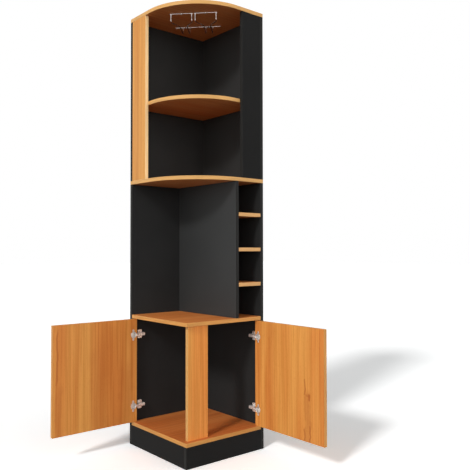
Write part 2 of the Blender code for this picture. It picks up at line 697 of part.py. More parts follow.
def make_glass_rack(side, across):
    """One wire rack under the top. In its own frame X runs back along the cabinet's diagonal."""
    diagonal = Vector((1, 1, 0)).normalized()
    sideways = Vector((1, -1, 0)).normalized()
    corner = Vector((FRONT, FRONT, TOP_Z))
    place = corner + diagonal * GLASS_RACK_SETBACK + sideways * across
    name = f"glass_rack_{side}"
    rack = add_object(name, wire(rail_path(1)), location=place, turn_deg=RACK_TURN_DEG)
    rack.data.materials.append(own_material("chrome", name))
    smooth(rack)
    combine(rack, wire(rail_path(-1)), "UNION", "second_wire")
    middle = -GAP - WIRE_RADIUS
    holes = bmesh.new()
    for label, x in (("front", 0.0), ("rear", GLASS_RACK_LENGTH)):
        bar = [(WIRE_RADIUS, -BAR_HALF_LENGTH), (WIRE_RADIUS, BAR_HALF_LENGTH)]
        combine(rack, turned(bar, (x, 0, middle), (0, 1, 0), WIRE_STEPS), "UNION", f"{label}_bar")
        ring = [(EYELET_RADIUS, -WIRE_RADIUS), (EYELET_RADIUS, WIRE_RADIUS)]
        combine(rack, turned(ring, (x, 0, middle), (0, 0, 1), KNOB_STEPS), "UNION", f"{label}_eyelet")
        bore = RACK_SCREW.shaft_radius + GAP
        reach = WIRE_RADIUS + OVERRUN
        add_turned(holes, [(bore, -reach), (bore, reach)], (x, 0, middle), (0, 0, 1), SMALL_STEPS)
        seat_place = place + diagonal * x + Vector((0, 0, middle - WIRE_RADIUS))
        screw_name = f"{name}_{label}_screw"
        body = turned(screw_profile(RACK_SCREW), (0, 0, 0), (0, 0, 1), SMALL_STEPS)
        screw = add_object(screw_name, body, location=seat_place)
        screw.data.materials.append(own_material("zinc_screw", screw_name))
        pilot = screw_hole_profile(RACK_SCREW)
        add_turned(board_holes("top_panel"), pilot, seat_place, (0, 0, 1), SMALL_STEPS)
    combine(rack, holes, "DIFFERENCE", "screw_holes")


def drill_boards():
    for name, holes in HOLES.items():
        board = BOARDS[name]
        bmesh.ops.translate(holes, vec=-board.location, verts=holes.verts[:])
        combine(board, holes, "DIFFERENCE", "holes")


def main():
    for old in list(bpy.data.objects):
        bpy.data.objects.remove(old)
    make_wall_panels()
    make_plinth()
    make_square_shelves()
    make_bowed_panels()
    make_uprights()
    make_bottle_rack()
    join_case_corner()
    join_shelves()
    join_deck_and_top()
    join_uprights()
    make_side("left")
    make_side("right")
    make_glass_rack("left", -GLASS_RACK_OFFSET)
    make_glass_rack("right", GLASS_RACK_OFFSET)
    drill_boards()


main()
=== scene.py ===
"""Corner bar cabinet: finishes and fine fittings around the cabinet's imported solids.

Metres, +Z up. The cabinet stands in the quarter where X and Y are negative, with its back corner at the
origin. Its boards keep their own shape and get edge bands and grain, and the hinges, wire racks, knobs
and screws are made again with the detail of the real fittings.
"""

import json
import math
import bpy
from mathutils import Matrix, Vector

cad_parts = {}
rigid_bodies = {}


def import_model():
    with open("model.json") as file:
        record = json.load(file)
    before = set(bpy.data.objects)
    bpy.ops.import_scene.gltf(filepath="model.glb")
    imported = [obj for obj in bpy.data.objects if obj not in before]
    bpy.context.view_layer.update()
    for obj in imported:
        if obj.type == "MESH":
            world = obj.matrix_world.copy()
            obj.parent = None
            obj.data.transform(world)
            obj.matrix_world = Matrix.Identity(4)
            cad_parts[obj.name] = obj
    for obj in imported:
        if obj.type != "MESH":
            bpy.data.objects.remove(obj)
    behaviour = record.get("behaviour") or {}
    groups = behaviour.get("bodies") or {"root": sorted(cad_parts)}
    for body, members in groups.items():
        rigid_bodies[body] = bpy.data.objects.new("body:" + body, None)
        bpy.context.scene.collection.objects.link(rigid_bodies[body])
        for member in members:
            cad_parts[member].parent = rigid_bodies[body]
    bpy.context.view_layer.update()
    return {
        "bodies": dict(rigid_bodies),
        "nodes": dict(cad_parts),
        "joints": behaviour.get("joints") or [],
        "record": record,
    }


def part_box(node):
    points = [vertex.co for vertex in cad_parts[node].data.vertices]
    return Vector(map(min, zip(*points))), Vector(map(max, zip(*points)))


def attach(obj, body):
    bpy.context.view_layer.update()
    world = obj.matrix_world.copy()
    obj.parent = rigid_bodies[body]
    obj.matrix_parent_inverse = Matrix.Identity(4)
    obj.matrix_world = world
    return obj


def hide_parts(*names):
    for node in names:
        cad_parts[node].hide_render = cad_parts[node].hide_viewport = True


bl_info = {
    "name": "Corner bar cabinet",
    "version": (1, 0, 0),
    "blender": (4, 5, 0),
    "location": "3D View > Sidebar > Cabinet",
    "description": "Dresses a corner bar cabinet of coated boards with grain, hinges, racks and screws",
    "category": "Object",
}

import bmesh
import bpy
from bpy.props import FloatProperty, FloatVectorProperty, IntProperty, PointerProperty
from bpy.types import Operator, Panel, PropertyGroup
from mathutils import Matrix, Vector

for old_object in list(bpy.data.objects):
    bpy.data.objects.remove(old_object)
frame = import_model()
NODES = frame["nodes"]
BODY_OF = {node: body for body, nodes in frame["record"]["behaviour"]["bodies"].items() for node in nodes}

SIDES = ("left", "right")
LEVELS = ("lower", "upper")
X, Y, Z = 0, 1, 2
Z_TO_Y = Matrix.Rotation(-math.pi / 2, 4, "X")
MERGE = 0.000001
FLAT_ANGLE = math.radians(0.5)
SMOOTH_ANGLE = math.radians(50.0)
OVAL_STEPS = 24

# Meshes are sorted along this way, so that each run cuts and joins them alike
SORT_WAY = Vector((1.0, 1.3717, 1.9131))

# The clearance between pieces, as in the solids, and half the length of what cuts a hole right through
SEAM = 0.0003
THROUGH = 0.01

# Each side's way into the cabinet along its wall, and out from that wall's face
INWARDS = {"left": Vector((1, 0, 0)), "right": Vector((0, 1, 0))}
OUT = {"left": Vector((0, -1, 0)), "right": Vector((-1, 0, 0))}

# Hinges: distances from the cabinet's front, from the wall's face and from the pivot
PIVOT_IN = 0.0065
PIVOT_OUT = 0.0102
DOOR_FACE = 0.0085
CUP_REACH = 0.0088
CUP_WELL_RADIUS = 0.0124
CUP_FLANGE = 0.001
CUP_PEG_OFFSET = 0.002
CUP_PEG_REACH = 0.019
CUP_PEG_RADIUS = 0.0032
CUP_PEG_LENGTH = 0.0100
CUP_EAR_RADIUS = 0.0045
CUP_STEPS = 40
PIN_RADIUS = 0.0009
PIN_REACH = 0.0060
PIN_STEPS = 16
KNUCKLE_RADIUS = 0.0018
ARM_SHEET = 0.0014
ARM_HALF_WIDTH = 0.0045
ARM_NECK = 0.006
ARM_OVER = 0.0218
ARM_BEND = 0.0185
ARM_BEND_RADIUS = 0.0016
ARM_SCREWS = (0.0325, 0.0465)
ARM_SCREW_FRAMES = [Matrix.Translation((x, 0, 0)) @ Z_TO_Y for x in ARM_SCREWS]
ARM_HOLE_RADIUS = 0.0017
ARM_HOLE_HEIGHTS = (0.010, 0.020)
ARM_SLOT_REACH = 0.0035
CHANNEL_START = 0.026
CHANNEL_END = 0.0552
CHANNEL_TOP = 0.0147
CHANNEL_FOOT = 0.004
CHANNEL_HALF_WIDTH = 0.005
CHANNEL_WALL = 0.0012
CHANNEL_BEND_RADIUS = 0.0012
SHEET_BEND_STEPS = 4
ADJUSTING_HEAD_RISE = 0.0012
PLATE_MIDDLE = 0.038
PLATE_REACH = 0.010
PLATE_HALF_LENGTH = 0.018
PLATE_SHEET = 0.002
PLATE_CORNER = 0.004
PLATE_CORNER_STEPS = 5
PLATE_PEG_REACH = 0.012
PLATE_PEG_RADIUS = 0.0024
PLATE_PEG_LENGTH = 0.0105
PLATE_BORE_RADIUS = 0.0016
PLATE_BORE_HEIGHTS = (0.003, 0.020)
RIB_START = 0.028
RIB_END = 0.052
RIB_EASE = 0.0006
PEG_HEAD_RADIUS = 0.0034
PEG_HEAD_HEIGHT = 0.0012
PEG_RIBS = 5
PEG_RIB_EASE = 0.0002
PEG_ROOT_SHARE = 0.88
PEG_TIP_SHARE = 0.7
HINGES = tuple((side, f"{side}_{level}_hinge") for side in SIDES for level in LEVELS)
# The cup's section, from its base round the outside and back inside: radius and height from the door's face
CUP_PROFILE = (
    (0, -0.0114), (0.0113, -0.0114), (0.0122, -0.0110), (0.0127, -0.0100), (0.0127, 0.0003),
    (0.0136, 0.0003), (0.0136, 0.0009), (0.0132, 0.0013), (0.0124, 0.0013), (0.0119, 0.0008),
    (0.0119, -0.0092), (0.0114, -0.0102), (0.0105, -0.0106), (0, -0.0106))
# The dome of a peg's head: share of its radius, and depth under its top
PEG_DOME = ((0, 0), (0.5, 0.0001), (0.85, 0.0004), (1, 0.0008))

# Glass racks
WIRE_RADIUS = 0.00175
WIRE_BEND = 0.008
RACK_DROP = 0.030
MOUTH_REACH = 0.043
RAIL_REACH = 0.0145
BAR_REACH = 0.0475
FLARE_LENGTH = 0.060
EYELET_RADIUS = 0.0052
EYELET_EASE_SHARE = 0.5
EYELET_CUT_SHARE = 0.3

# Screws
SCREW_STEPS = 24
# A thread: its root as a share of its radius, its tip of its root, and its crest and foot of a turn
THREAD_ROOT = 0.74
THREAD_TIP = 0.6
THREAD_CREST = 0.3
THREAD_FOOT = 0.6
RECESS_SHARE = 0.6
# A pan head: share of its radius, and share of its height under its top
PAN_HEAD = ((0, 0), (0.45, 0.06), (0.8, 0.3), (1, 0.7), (1, 1))
PAN_NECK = 0.0004
CASE_HEAD_PROFILE = ((0, 0), (0.004608, 0), (0.0048, -0.0002), (0.0025, -0.003))
CASE_RECESS_REACH = 0.00264
# A threaded shank: its radius, its top and its tip under the head's top, and its number of turns
CASE_THREAD = (0.0025, -0.006, -0.0397, 12)
RACK_SHANK_RADIUS = 0.0017
# Pan-headed screws: radius of the head and of the shank, the head's height, the length and the turns
RACK_SCREW = (0.0040, RACK_SHANK_RADIUS, 0.002, 0.0183, 9)
ADJUSTING_SCREW = (0.0027, 0.0013, 0.0011, 0.0075, 7)
SCREWS_FROM_BELOW = ("corner_post_screw", "rack_divider_screw")
CASE_SCREWS = tuple(f"{level}_corner_screw_{number}" for level in LEVELS for number in (1, 2))
CASE_SCREWS += tuple(
    f"{board}_screw_{side}" for side in SIDES
    for board in ("bottom_shelf", "counter_shelf", "display_shelf", "deck_panel", "top_panel"))
CASE_SCREWS += SCREWS_FROM_BELOW
RACK_SCREWS = tuple(f"glass_rack_{side}_{end}_screw" for side in SIDES for end in ("front", "rear"))

# Knobs: radius and height from the tip of the stud
KNOB_STEPS = 48
KNOB_PROFILE = (
    (0, 0), (0.0016, 0), (0.0020, 0.0005), (0.0020, 0.0103), (0.0056, 0.0103), (0.0060, 0.0107),
    (0.0060, 0.0122), (0.0056, 0.0127), (0.0047, 0.0136), (0.0042, 0.0150), (0.0040, 0.0168),
    (0.0042, 0.0188), (0.0052, 0.0208), (0.0072, 0.0226), (0.0098, 0.0240), (0.0118, 0.0252),
    (0.0125, 0.0266), (0.0123, 0.0282), (0.0113, 0.0296), (0.0094, 0.0307), (0.0066, 0.0315),
    (0.0034, 0.0319), (0, 0.0320))

# Layers of noise in the wood grain: scale across and along the grain, detail and distortion
BROAD_GRAIN = (14.0, 0.9, 2.0, 0.3)
STREAKS = (120.0, 2.2, 3.0, 0.1)
FIBRES = (330.0, 6.0, 2.0, 0.0)
FLECKS = (520.0, 90.0, 2.0, 0.0)
# What these layers do: two values of the noise, and the effect at each
PALE_SHARE = (0.36, 0.64, 0.0, 1.0)
RED_SHARE = (0.46, 0.34, 0.0, 0.25)
FIGURE_BREAKS = (0.36, 0.52, 0.6, 1.0)
STREAK_SHADE = (0.60, 0.38, 0.0, 0.55)
FIBRE_SHADE = (0.62, 0.36, 0.0, 0.20)
FLECK_SHADE = (0.58, 0.70, 0.0, 0.40)
# What the grain's darker lines do to the tone
WARM_SHADE = (0.80, 0.66, 0.56)
# How far the roughness goes below and above its setting, the specular level, and the height of the bump
WOOD_ROUGHNESS = (-0.05, 0.06)
WOOD_SPECULAR = 0.16
WOOD_BUMP = 0.00003

# The other finishes have a fine noise and a coarse one: scale across and along, detail, distortion, and the
# tone at the noise's low and high values
NOISE_RANGE = (0.3, 0.7)
BAND_NOISES = ((600.0, 12.0, 2.0, 0.0, 0.92, 1.05), (60.0, 8.0, 2.0, 0.0, 0.93, 1.05))
BAND_ROUGHNESS = (-0.04, 0.05)
WOOD_BAND_SPECULAR = 0.2
BLACK_BAND_SPECULAR = 0.09
BLACK_NOISES = ((1400.0, 1400.0, 2.0, 0.0, 0.86, 1.14), (7.0, 7.0, 3.0, 0.4, 0.95, 1.06))
BLACK_ROUGHNESS = (-0.03, 0.05)
COATING_BUMP = 0.00002
METAL_MARKS = (3.0, 0.0, 0.95, 1.03)
METAL_STAIN = (160.0, 160.0, 2.0, 0.0, 0.96, 1.02)
METAL_ROUGHNESS = (0.9, 1.15)
METAL_BUMP = 0.00001
# Metals: tone, roughness, how metallic it is, and the scale of its marks across and along Z
METALS = {
    "chrome": ((0.72, 0.68, 0.66), 0.16, 1.0, 700.0, 700.0),
    "nickel": ((0.93, 0.91, 0.88), 0.28, 0.6, 900.0, 140.0),
    "steel": ((0.76, 0.71, 0.66), 0.30, 0.8, 900.0, 140.0),
    "zinc": ((0.60, 0.60, 0.57), 0.32, 1.0, 1200.0, 1200.0),
}

# Red streaks on the doors: how short their waves are, and then each one's middle, half width and fade
# across the door, how far it wanders, the middle, half length and fade of its height, and its strength
FIGURE_WAVE = 22.0
DOOR_FIGURES = {
    "left": (
        (-0.742, 0.001, 0.005, 0.008, 0.400, 0.085, 0.030, 0.60),
        (-0.735, 0.006, 0.014, 0.012, 0.180, 0.080, 0.060, 0.30),
        (-0.560, 0.016, 0.040, 0.020, 0.250, 0.120, 0.120, 0.22),
        (-0.435, 0.014, 0.030, 0.020, 0.200, 0.090, 0.100, 0.26)),
    "right": (
        (-0.652, 0.001, 0.004, 0.014, 0.300, 0.026, 0.008, 0.75),
        (-0.666, 0.006, 0.008, 0.004, 0.270, 0.002, 0.005, 0.35),
        (-0.673, 0.002, 0.004, 0.004, 0.264, 0.008, 0.008, 0.80),
        (-0.664, 0.010, 0.010, 0.020, 0.180, 0.090, 0.030, 0.38),
        (-0.648, 0.001, 0.004, 0.014, 0.118, 0.020, 0.012, 0.60),
        (-0.677, 0.001, 0.004, 0.014, 0.125, 0.028, 0.012, 0.70),
        (-0.476, 0.006, 0.014, 0.012, 0.300, 0.160, 0.120, 0.18)),
}


def amount(name, description, default, **more):
    return FloatProperty(name=name, description=description, default=default, **more)


def vector(name, description, default, **more):
    return FloatVectorProperty(name=name, description=description, default=default, size=3, **more)


def tone(name, description, default):
    return vector(name, description, default, subtype="COLOR", min=0, max=1)


class FinishSettings(PropertyGroup):
    honey: tone("Honey", "Main tone of the upright boards' coating", (0.70, 0.262, 0.055))
    honey_pale: tone("Pale grain", "Lightest tone of the grain", (0.76, 0.345, 0.080))
    honey_red: tone("Red grain", "Reddest tone of the grain", (0.60, 0.165, 0.036))
    knot: tone("Knot", "Tone of the doors' streaks and knots", (0.44, 0.105, 0.022))
    shelf: tone("Shelf", "Main tone of the shelves' coating", (0.66, 0.205, 0.050))
    shelf_pale: tone("Pale shelf grain", "Lightest tone of the shelves' grain", (0.72, 0.250, 0.065))
    # The stile's tones are paler than the doors' honey: painted light, for the key light that falls on the
    # upper stile
    stile: tone("Stile", "Main tone of the left stile's coating", (0.66, 0.300, 0.068))
    stile_pale: tone("Pale stile grain", "Lightest tone of the left stile's grain", (0.72, 0.350, 0.085))
    # The counter's tones are lighter than the other shelves': painted light, for the light that reaches its
    # top in the open niche
    counter: tone("Counter", "Main tone of the counter's coating", (0.78, 0.255, 0.060))
    counter_pale: tone("Pale counter grain", "Lightest tone of the counter's grain", (0.82, 0.300, 0.078))
    # The bowed shelves' tones are duller and darker than the other shelves': painted shade for their shaded
    # undersides
    bowed_shelf: tone("Bowed shelf", "Main tone of the bowed shelves' coating", (0.68, 0.265, 0.088))
    bowed_pale: tone("Pale bowed grain", "Lightest tone of the bowed shelves' grain", (0.68, 0.290, 0.100))
    # The post's tone is paler than the doors' honey: painted light, lifting a face that the opening leaves in
    # shade
    post: tone("Post", "Main tone of the corner post's coating", (0.80, 0.310, 0.068))
    bowed_band: tone("Bowed edge band", "Tone of the edge bands of the bowed shelves", (0.65, 0.350, 0.113))
    square_band: tone(
        "Square edge band", "Tone of the edge bands of the square shelves and doors", (0.61, 0.284, 0.074))
    bottle_band: tone(
        "Bottle shelf edge band", "Tone of the edge bands of the bottle shelves", (0.68, 0.370, 0.140))
    # The stile's edge band is a pale band of its own, made paler still: painted highlight for the sheen and
    # light on that edge
    stile_band: tone("Stile edge band", "Tone of the left stile's edge band", (0.97, 0.660, 0.320))
    # A darker copy of the black coating than the upper panels': partly painted shade, for the dim cupboard
    # inside
    black: tone("Black", "Tone of the lower wall panels' coating", (0.0222, 0.0224, 0.0222))
    # A lighter copy of the black coating: painted light for the bright upper compartments
    black_upper_painted_light: tone(
        "Upper black", "Tone of the upper wall panels' black coating", (0.0285, 0.0290, 0.0285))
    # A lighter copy of the black coating, with more specular: painted light for the sheen on the divider
    black_satin_painted_light: tone("Satin black", "Tone of the divider's satin coating", (0.0300, 0.0308, 0.0305))
    # A darker copy of the black coating: painted shade on the plinth boards and the right stile
    black_painted_shade: tone(
        "Deep black", "Tone of the plinth boards' and the right stile's coating", (0.0135, 0.0133, 0.0130))
    black_band: tone("Black edge band", "Tone of the black boards' edge bands", (0.0190, 0.0186, 0.0176))
    honey_roughness: amount("Honey roughness", "Roughness of the wood-grain coating", 0.46, min=0, max=1)
    black_roughness: amount("Black roughness", "Roughness of the black coating", 0.50, min=0, max=1)


class FittingSettings(PropertyGroup):
    wire_sides: IntProperty(
        name="Wire sides", description="Sides of the racks' round wire", min=6, max=32, default=14)
    bend_steps: IntProperty(
        name="Bend steps", description="Steps in each bend of the wire", min=2, max=16, default=7)
    flare_steps: IntProperty(
        name="Flare steps", description="Steps where a side wire runs inwards", min=4, max=40, default=16)
    recess_width: amount("Recess width", "Width of one slot of a cross recess", 0.0009, unit="LENGTH")
    recess_depth: amount("Recess depth", "Depth of a cross recess", 0.0009, unit="LENGTH")


class StageSettings(PropertyGroup):
    lens: amount("Lens", "Focal length in millimetres on a 36 mm sensor", 46.26)
    shift: amount("Shift", "Sideways shift of the camera", 0.0673)
    eye: vector(
        "Eye", "Place of the camera", (-1.7512, -2.1973, 0.8136), subtype="TRANSLATION", unit="LENGTH")
    heading: amount("Heading", "Turn of the camera from the Y axis", math.radians(-38.5495), unit="ROTATION")
    pitch: amount("Pitch", "Upward tilt of the camera", math.radians(1.434), unit="ROTATION")
    key_way: vector(
        "Key direction", "The way that the key light travels", (0.756, 0.238, -0.5225), subtype="DIRECTION")
    key_strength: amount("Key strength", "Strength of the key light", 1.65, min=0)
    key_width: amount("Key width", "Apparent width of the key light", math.radians(9.0), unit="ROTATION")
    side_strength: amount("Side strength", "Strength of the even light from level directions", 3.9, min=0)
    side_focus: amount("Side focus", "How closely the even light keeps to level directions", 4.0, min=0)
    top_strength: amount("Top strength", "Strength of the even light from straight above", 0.12, min=0)
    fill_way: vector(
        "Fill direction", "Where the soft fill light comes from", (0.05, -0.94, 0.34), subtype="DIRECTION")
    fill_strength: amount("Fill strength", "Strength of the soft fill light", 0.6, min=0)
    floor_tone: amount("Floor tone", "Paleness of the floor, as the camera sees it", 1.5, min=0)
    floor_bounce: amount(
        "Floor bounce", "How much light the floor gives back to the object", 0.2, min=0, max=1)
    floor_size: amount("Floor size", "Width of the floor", 60.0, unit="LENGTH")


def settings(group):
    return getattr(bpy.context.scene, f"cabinet_{group}")


# Materials

def new_material(name):
    material = bpy.data.materials.new(name)
    material.use_nodes = True
    tree = material.node_tree
    return material, tree, tree.nodes["Principled BSDF"]


def feed(tree, node, values):
    """Fills a node's inputs. A value is what the input holds, or the output that feeds it."""
    for name, value in values.items():
        socket = node.inputs[name]
        if isinstance(value, bpy.types.NodeSocket):
            tree.links.new(value, socket)
        else:
            socket.default_value = (*value, 1.0) if socket.type == "RGBA" else value


def add_node(tree, kind, values, **choices):
    node = tree.nodes.new(kind)
    for name, choice in choices.items():
        setattr(node, name, choice)
    feed(tree, node, values)
    return node


def stretched_noise(tree, scale, offset, detail, distortion):
    """Noise on object coordinates, with its own scale along each axis."""
    place = tree.nodes.new("ShaderNodeTexCoord").outputs["Object"]
    mapping = add_node(tree, "ShaderNodeMapping", {"Vector": place, "Location": offset, "Scale": scale})
    noise = add_node(tree, "ShaderNodeTexNoise", {
        "Vector": mapping.outputs["Vector"], "Scale": 1.0, "Detail": detail, "Distortion": distortion})
    return noise.outputs["Fac"]


def ramp(tree, factor, low, high, to_low=0.0, to_high=1.0):
    """Maps a factor smoothly from one range to another."""
    values = {"Value": factor, "From Min": low, "From Max": high, "To Min": to_low, "To Max": to_high}
    return add_node(tree, "ShaderNodeMapRange", values, interpolation_type="SMOOTHSTEP").outputs["Result"]


def math_node(tree, operation, first, second, *more):
    """The result of an operation on two values, and then on it and each of the others."""
    node = add_node(tree, "ShaderNodeMath", {0: first, 1: second}, operation=operation)
    result = node.outputs["Value"]
    return math_node(tree, operation, result, *more) if more else result


def mix(tree, factor, first, second, blend="MIX"):
    """Two colours mixed, by the mix node's factor and its inputs for colours."""
    values = {0: factor, 6: first, 7: second}
    return add_node(tree, "ShaderNodeMix", values, data_type="RGBA", blend_type=blend).outputs[2]


def grey(tree, factor):
    """A factor as a grey colour, to multiply a colour with."""
    return add_node(tree, "ShaderNodeCombineColor", {0: factor, 1: factor, 2: factor}).outputs["Color"]


def bump(tree, height, distance):
    values = {"Strength": 1.0, "Distance": distance, "Height": height}
    return add_node(tree, "ShaderNodeBump", values).outputs["Normal"]


def soft_window(tree, axis, middle, half, fade, drift=0.0):
    """One inside a stretch of an axis and zero outside it, with soft ends. The drift moves the stretch."""
    place = tree.nodes.new("ShaderNodeTexCoord").outputs["Object"]
    parts = add_node(tree, "ShaderNodeSeparateXYZ", {"Vector": place})
    drifted = math_node(tree, "ADD", parts.outputs[axis], drift)
    away = math_node(tree, "ABSOLUTE", math_node(tree, "SUBTRACT", drifted, middle), 0.0)
    return ramp(tree, away, half + fade, half)


def wavy_streak(tree, across, figure, offset):
    """One along an upright streak that wanders a little, and zero away from it."""
    middle, half, fade, wander, height, half_height, end_fade, strength = figure
    wave = stretched_noise(tree, (0.0, 0.0, FIGURE_WAVE), offset, 2.0, 0.0)
    drift = math_node(tree, "MULTIPLY", math_node(tree, "SUBTRACT", wave, 0.5), 2.0 * wander)
    line = soft_window(tree, across, middle, half, fade, drift)
    stretch = soft_window(tree, Z, height, half_height, end_fade)
    return math_node(tree, "MULTIPLY", line, stretch, strength)


def grain(tree, run, layer, offset):
    """A layer of noise that is drawn out along the run's axes."""
    across, along, detail, distortion = layer
    scale = tuple(along if axis in run else across for axis in (X, Y, Z))
    return stretched_noise(tree, scale, offset, detail, distortion)


def wood(name, run, offset, main, pale, red, across=X, figures=()):
    """A wood-grain coating. The run holds the axes that the grain lies along. The figures are red streaks
    at places across the board."""
    finish = settings("finish")
    material, tree, shader = new_material(name)
    layers = (BROAD_GRAIN, STREAKS, FIBRES, FLECKS)
    broad, streak, fibre, fleck = (grain(tree, run, layer, offset) for layer in layers)
    colour = mix(tree, ramp(tree, broad, *PALE_SHARE), main, pale)
    colour = mix(tree, ramp(tree, broad, *RED_SHARE), colour, red)
    for number, figure in enumerate(figures):
        line = wavy_streak(tree, across, figure, tuple(part + number for part in offset))
        broken = math_node(tree, "MULTIPLY", line, ramp(tree, streak, *FIGURE_BREAKS))
        colour = mix(tree, broken, colour, finish.knot)
    shades = ((streak, STREAK_SHADE), (fibre, FIBRE_SHADE), (fleck, FLECK_SHADE))
    shade = math_node(tree, "ADD", *(ramp(tree, noise, *effect) for noise, effect in shades))
    colour = mix(tree, shade, colour, mix(tree, 1.0, colour, WARM_SHADE, "MULTIPLY"))
    rough = ramp(tree, fibre, *NOISE_RANGE, *(finish.honey_roughness + part for part in WOOD_ROUGHNESS))
    feed(tree, shader, {
        "Base Color": colour, "Roughness": rough, "Specular IOR Level": WOOD_SPECULAR,
        "Normal": bump(tree, fibre, WOOD_BUMP)})
    return material


def mottled(name, colour, noises, roughness, depth, finish, run=(), offset=(0, 0, 0)):
    """A coating whose fine noise gives tone and bump, and whose coarse one gives tone and gloss. The finish
    is what its shader has besides."""
    material, tree, shader = new_material(name)
    fine, coarse = (grain(tree, run, noise[:4], offset) for noise in noises)
    shades = [ramp(tree, layer, *NOISE_RANGE, *noise[4:]) for layer, noise in zip((fine, coarse), noises)]
    shade = grey(tree, math_node(tree, "MULTIPLY", *shades))
    feed(tree, shader, {
        "Base Color": mix(tree, 1.0, colour, shade, "MULTIPLY"),
        "Roughness": ramp(tree, coarse, *NOISE_RANGE, *roughness),
        "Normal": bump(tree, fine, depth), **finish})
    return material


def band(name, run, colour, roughness, specular=WOOD_BAND_SPECULAR):
    """The plastic edge band of a board, with a fine printed grain along it."""
    rough = [roughness + part for part in BAND_ROUGHNESS]
    return mottled(name, colour, BAND_NOISES, rough, COATING_BUMP, {"Specular IOR Level": specular}, run)


def black_coating(name, offset, colour, specular):
    """A black coating with a fine pearl texture and the faint cloud of a wiped surface."""
    rough = [settings("finish").black_roughness + part for part in BLACK_ROUGHNESS]
    finish = {"Specular IOR Level": specular}
    return mottled(name, colour, BLACK_NOISES, rough, COATING_BUMP, finish, offset=offset)


def metal(kind):
    """A plated metal with fine marks. Each is made once and shared."""
    name = f"{kind}_plate"
    if name in bpy.data.materials:
        return bpy.data.materials[name]
    colour, roughness, metallic, across, along = METALS[kind]
    noises = ((across, along, *METAL_MARKS), METAL_STAIN)
    rough = [roughness * part for part in METAL_ROUGHNESS]
    return mottled(name, colour, noises, rough, METAL_BUMP, {"Metallic": metallic}, (Z,))


# Building blocks

def middle_of(node):
    return Vector((low + high) / 2 for low, high in zip(*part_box(node)))


def vertices(made):
    """The vertices among what an operator made."""
    return [part for part in made["geom"] if isinstance(part, bmesh.types.BMVert)]


def merged_copy(node):
    """A node's mesh with its loose triangles joined and its flat faces made whole."""
    bm = bmesh.new()
    bm.from_mesh(NODES[node].data)
    bmesh.ops.remove_doubles(bm, verts=bm.verts[:], dist=MERGE)
    bmesh.ops.dissolve_limit(bm, angle_limit=FLAT_ANGLE, verts=bm.verts[:], edges=bm.edges[:])
    for face in bm.faces:
        face.material_index = 0
    return bm


def new_object(name, data):
    made = bpy.data.objects.new(name, data)
    bpy.context.scene.collection.objects.link(made)
    return made


def mesh_object(name, bm):
    """Makes a body an object, sorted, and uses the body up."""
    bm.verts.sort(key=lambda vert: vert.co.dot(SORT_WAY))
    bm.edges.sort(key=lambda edge: (edge.verts[0].co + edge.verts[1].co).dot(SORT_WAY))
    bm.faces.sort(key=lambda face: face.calc_center_median().dot(SORT_WAY))
    mesh = bpy.data.meshes.new(name)
    bm.to_mesh(mesh)
    bm.free()
    return new_object(name, mesh)


def add_piece(name, bm, materials, body):
    """Makes a body the piece of that name, and lets it ride on the CAD's body."""
    piece = mesh_object(name, bm)
    for material in materials:
        piece.data.materials.append(material)
    piece.data.shade_smooth()
    piece.data.set_sharp_from_angle(angle=SMOOTH_ANGLE)
    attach(piece, body)
    return piece


def stand_for(node, name, bm, materials):
    """Makes the piece that stands for a node, on the node's own body."""
    piece = add_piece(name, bm, materials, BODY_OF[node])
    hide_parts(node)
    return piece


def moved(bm, matrix):
    bmesh.ops.transform(bm, matrix=matrix, verts=bm.verts[:])
    return bm


def faced_out(bm):
    bmesh.ops.recalc_face_normals(bm, faces=bm.faces[:])
    return bm


def placed(bm, matrix):
    """A copy of a body at another place, turned the right way out where the place mirrors it."""
    made = moved(bm.copy(), matrix)
    if matrix.determinant() < 0:
        bmesh.ops.reverse_faces(made, faces=made.faces[:])
    return made


def combined(first, second, operation):
    """What is left of two bodies that are joined, or cut by each other. Both are used up."""
    helpers = [mesh_object("helper", bm) for bm in (first, second)]
    boolean = helpers[0].modifiers.new("boolean", "BOOLEAN")
    boolean.operation = operation
    boolean.solver = "EXACT"
    boolean.object = helpers[1]
    graph = bpy.context.evaluated_depsgraph_get()
    result = bmesh.new()
    result.from_object(helpers[0], graph)
    for helper in helpers:
        mesh = helper.data
        bpy.data.objects.remove(helper)
        bpy.data.meshes.remove(mesh)
    bmesh.ops.remove_doubles(result, verts=result.verts[:], dist=MERGE)
    return result


def joined(bodies):
    whole = bodies[0]
    for body in bodies[1:]:
        whole = combined(whole, body, "UNION")
    return whole


def cut(body, cutters):
    for cutter in cutters:
        body = combined(body, cutter, "DIFFERENCE")
    return body


def facing(direction, place=(0, 0, 0)):
    """Turns what was made along Z to a direction, and moves it to its place."""
    return Matrix.Translation(place) @ Vector(direction).to_track_quat("Z", "Y").to_matrix().to_4x4()


def turned(profile, steps, matrix=Matrix.Identity(4)):
    """A body turned about Z, from a line of radius and height that starts and ends on the axis."""
    bm = bmesh.new()
    line = [bm.verts.new((radius, 0.0, height)) for radius, height in profile]
    edges = [bm.edges.new(pair) for pair in zip(line, line[1:])]
    bmesh.ops.spin(
        bm, geom=line + edges, cent=(0, 0, 0), axis=(0, 0, 1), angle=2 * math.pi, steps=steps, use_merge=True)
    bmesh.ops.remove_doubles(bm, verts=bm.verts[:], dist=MERGE)
    return moved(faced_out(bm), matrix)


def block(low, high, ease=0.0):
    """A block between two corners, with its edges rounded by the ease."""
    bm = bmesh.new()
    bmesh.ops.create_cube(bm, size=1.0)
    size = Vector(high) - Vector(low)
    bmesh.ops.scale(bm, vec=size, verts=bm.verts[:])
    bmesh.ops.translate(bm, vec=(Vector(low) + Vector(high)) / 2, verts=bm.verts[:])
    if ease:
        round_edges(bm, bm.edges[:], ease)
    return bm


def round_edges(bm, edges, width, steps=2):
    bmesh.ops.bevel(
        bm, geom=edges, offset=width, affect="EDGES", segments=steps, profile=0.5, material=-1,
        clamp_overlap=True)


